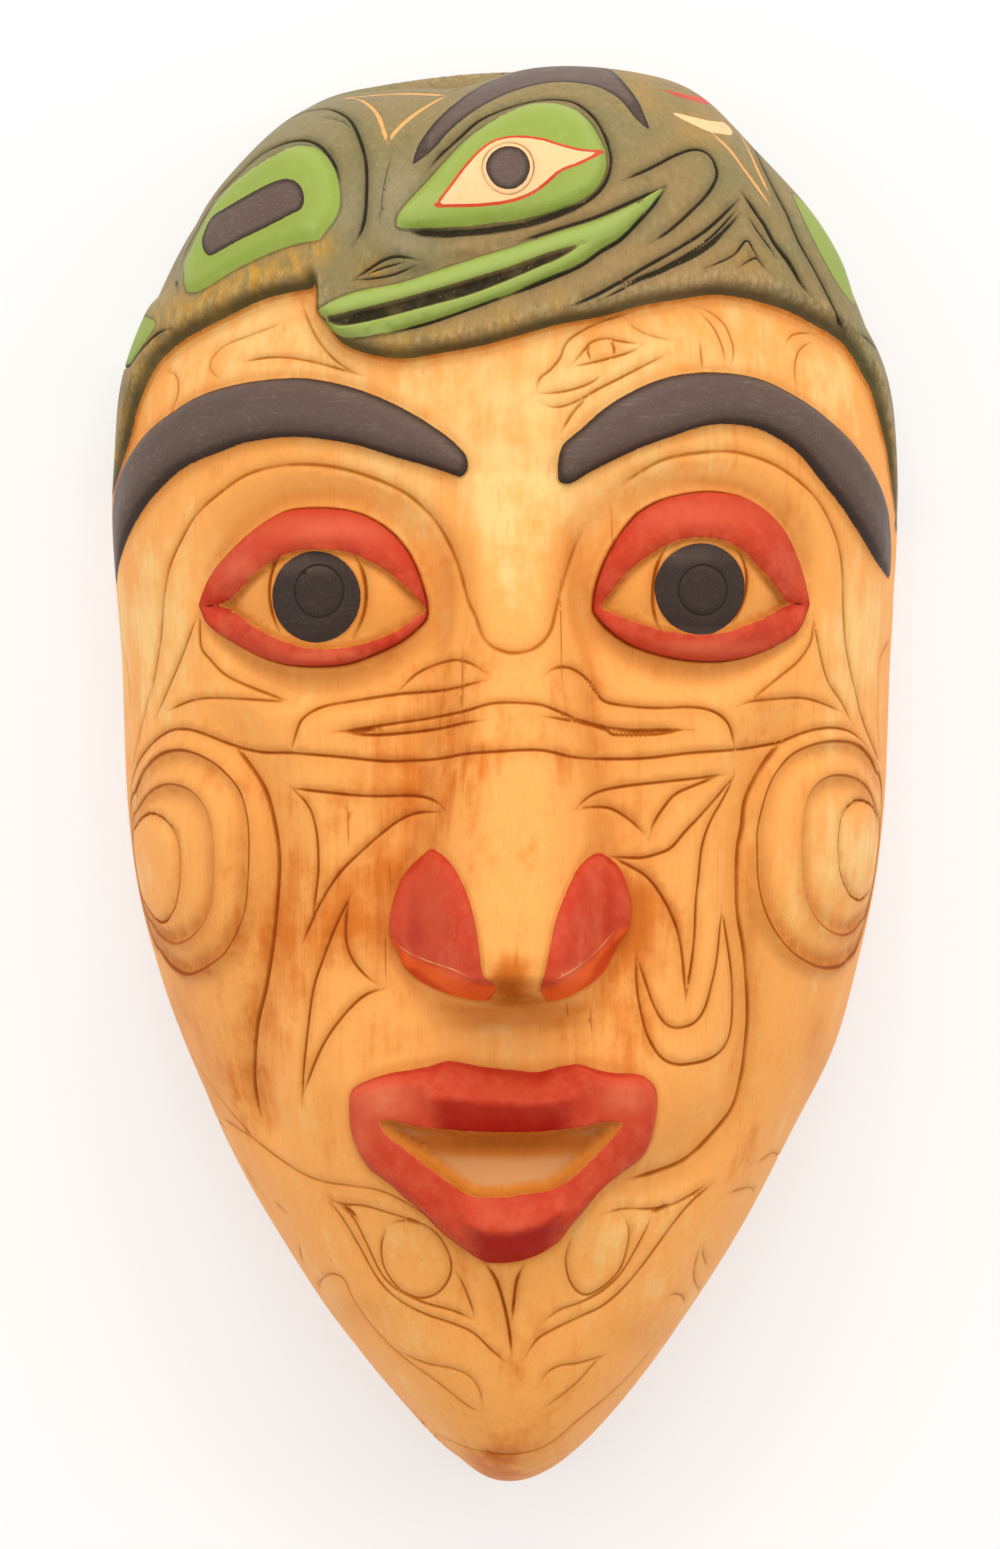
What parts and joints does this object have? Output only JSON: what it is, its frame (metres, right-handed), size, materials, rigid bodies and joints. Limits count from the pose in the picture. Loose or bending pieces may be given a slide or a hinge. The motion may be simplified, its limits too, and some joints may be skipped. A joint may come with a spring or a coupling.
{
  "type": "carved frog mask",
  "caption": "Carved wooden face mask with a painted frog over the forehead, ringed cheeks and a hollow back.",
  "frame": {"origin": "middle of the rim's plane, halfway from crown to chin and from side to side", "axes": "+Z from the flat rim out through the face, +Y from the chin to the crown, +X to the viewer's right when looking at the face"},
  "size_m": [0.1706, 0.3052, 0.1085],
  "materials": {
    "wood": "oiled and stained carved wood, part painted"
  },
  "bodies": {
    "root": {"mask": "wood"}
  },
  "joints": []
}
